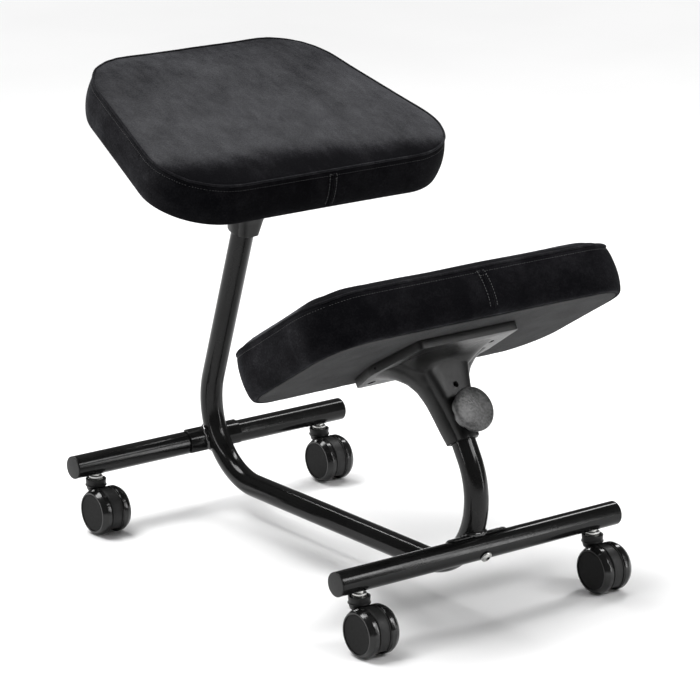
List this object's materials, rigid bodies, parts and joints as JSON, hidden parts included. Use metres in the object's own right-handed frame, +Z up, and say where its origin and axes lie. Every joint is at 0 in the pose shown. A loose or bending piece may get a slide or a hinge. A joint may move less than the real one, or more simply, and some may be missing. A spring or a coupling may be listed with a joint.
{
  "type": "kneeling chair",
  "caption": "Kneeling chair with a forward-tilted seat, a sloping knee pad adjusted by a clamp knob, a bent tube frame and twin-wheel casters.",
  "frame": {"origin": "on the floor, under the middle of the chair's bounding box", "axes": "+Z up, -Y towards the front where the knees go, X across the chair along the two bars"},
  "size_m": [0.464, 0.6649, 0.6066],
  "materials": {
    "powder_coat": "glossy black powder coat",
    "black_plastic": "fine-grained matt moulding",
    "wheel_plastic": "smooth nylon",
    "zinc": "bright zinc plate",
    "brass": "plain",
    "velvet": "short-pile black microfibre",
    "dust_cover": "grey non-woven",
    "plywood": "unfinished"
  },
  "bodies": {
    "frame": {"front_bar_bolt": "zinc", "front_crossbar": "powder_coat", "front_left_caster_stem": "zinc", "front_left_end_cap": "black_plastic", "front_right_caster_stem": "zinc", "front_right_end_cap": "black_plastic", "front_saddle": "powder_coat", "front_weld_nut": "zinc", "main_tube": "powder_coat", "rear_bar_bolt": "zinc", "rear_crossbar": "powder_coat", "rear_left_caster_stem": "zinc", "rear_left_end_cap": "black_plastic", "rear_right_caster_stem": "zinc", "rear_right_end_cap": "black_plastic", "rear_saddle": "powder_coat", "rear_weld_nut": "zinc", "seat_back_left_screw": "zinc", "seat_back_right_screw": "zinc", "seat_board": "plywood", "seat_bracket": "black_plastic", "seat_cushion": "velvet", "seat_dust_cover": "dust_cover", "seat_front_left_screw": "zinc", "seat_front_right_screw": "zinc"},
    "knee_rest": {"knee_back_left_screw": "zinc", "knee_back_right_screw": "zinc", "knee_board": "plywood", "knee_bracket": "black_plastic", "knee_cushion": "velvet", "knee_dust_cover": "dust_cover", "knee_front_left_screw": "zinc", "knee_front_right_screw": "zinc", "knob_insert": "brass"},
    "clamp_screw": {"knob_stud": "zinc"},
    "clamp_grip": {"clamp_knob": "black_plastic"},
    "front_left_caster": {"front_left_caster_hood": "black_plastic", "front_left_caster_axle": "zinc"},
    "front_left_left_roller": {"front_left_left_wheel": "wheel_plastic"},
    "front_left_right_roller": {"front_left_right_wheel": "wheel_plastic"},
    "front_right_caster": {"front_right_caster_hood": "black_plastic", "front_right_caster_axle": "zinc"},
    "front_right_left_roller": {"front_right_left_wheel": "wheel_plastic"},
    "front_right_right_roller": {"front_right_right_wheel": "wheel_plastic"},
    "rear_left_caster": {"rear_left_caster_hood": "black_plastic", "rear_left_caster_axle": "zinc"},
    "rear_left_left_roller": {"rear_left_left_wheel": "wheel_plastic"},
    "rear_left_right_roller": {"rear_left_right_wheel": "wheel_plastic"},
    "rear_right_caster": {"rear_right_caster_hood": "black_plastic", "rear_right_caster_axle": "zinc"},
    "rear_right_left_roller": {"rear_right_left_wheel": "wheel_plastic"},
    "rear_right_right_roller": {"rear_right_right_wheel": "wheel_plastic"}
  },
  "joints": [
    {"name": "knee_height", "type": "slide", "parent": "frame", "child": "knee_rest", "axis": [0, 0.515, 0.8572], "range_m": [0, 0.045]},
    {"name": "knob_travel", "type": "slide", "parent": "knee_rest", "child": "clamp_screw", "axis": [0, -0.8572, 0.515], "range_m": [0, 0.0063]},
    {"name": "knob_turn", "type": "hinge", "parent": "clamp_screw", "child": "clamp_grip", "pos_m": [0, -0.23435, 0.23816], "axis": [0, -0.8572, 0.515], "range_deg": [0, 1800]},
    {"name": "front_left_swivel", "type": "hinge", "parent": "frame", "child": "front_left_caster", "pos_m": [-0.18, -0.27932, 0.07], "axis": [0, 0, 1], "continuous": true},
    {"name": "front_left_left_wheel_spin", "type": "hinge", "parent": "front_left_caster", "child": "front_left_left_roller", "pos_m": [-0.18, -0.30172, 0.03], "axis": [1, 0, 0], "continuous": true},
    {"name": "front_left_right_wheel_spin", "type": "hinge", "parent": "front_left_caster", "child": "front_left_right_roller", "pos_m": [-0.18, -0.30172, 0.03], "axis": [1, 0, 0], "continuous": true},
    {"name": "front_right_swivel", "type": "hinge", "parent": "frame", "child": "front_right_caster", "pos_m": [0.18, -0.27932, 0.07], "axis": [0, 0, 1], "continuous": true},
    {"name": "front_right_left_wheel_spin", "type": "hinge", "parent": "front_right_caster", "child": "front_right_left_roller", "pos_m": [0.18, -0.30172, 0.03], "axis": [1, 0, 0], "continuous": true},
    {"name": "front_right_right_wheel_spin", "type": "hinge", "parent": "front_right_caster", "child": "front_right_right_roller", "pos_m": [0.18, -0.30172, 0.03], "axis": [1, 0, 0], "continuous": true},
    {"name": "rear_left_swivel", "type": "hinge", "parent": "frame", "child": "rear_left_caster", "pos_m": [-0.18, 0.28332, 0.07], "axis": [0, 0, 1], "continuous": true},
    {"name": "rear_left_left_wheel_spin", "type": "hinge", "parent": "rear_left_caster", "child": "rear_left_left_roller", "pos_m": [-0.18, 0.26092, 0.03], "axis": [1, 0, 0], "continuous": true},
    {"name": "rear_left_right_wheel_spin", "type": "hinge", "parent": "rear_left_caster", "child": "rear_left_right_roller", "pos_m": [-0.18, 0.26092, 0.03], "axis": [1, 0, 0], "continuous": true},
    {"name": "rear_right_swivel", "type": "hinge", "parent": "frame", "child": "rear_right_caster", "pos_m": [0.18, 0.28332, 0.07], "axis": [0, 0, 1], "continuous": true},
    {"name": "rear_right_left_wheel_spin", "type": "hinge", "parent": "rear_right_caster", "child": "rear_right_left_roller", "pos_m": [0.18, 0.26092, 0.03], "axis": [1, 0, 0], "continuous": true},
    {"name": "rear_right_right_wheel_spin", "type": "hinge", "parent": "rear_right_caster", "child": "rear_right_right_roller", "pos_m": [0.18, 0.26092, 0.03], "axis": [1, 0, 0], "continuous": true}
  ],
  "couplings": [
    {"joint": "knob_travel", "follows": "knob_turn", "m_per_rad": 0.00019894}
  ]
}
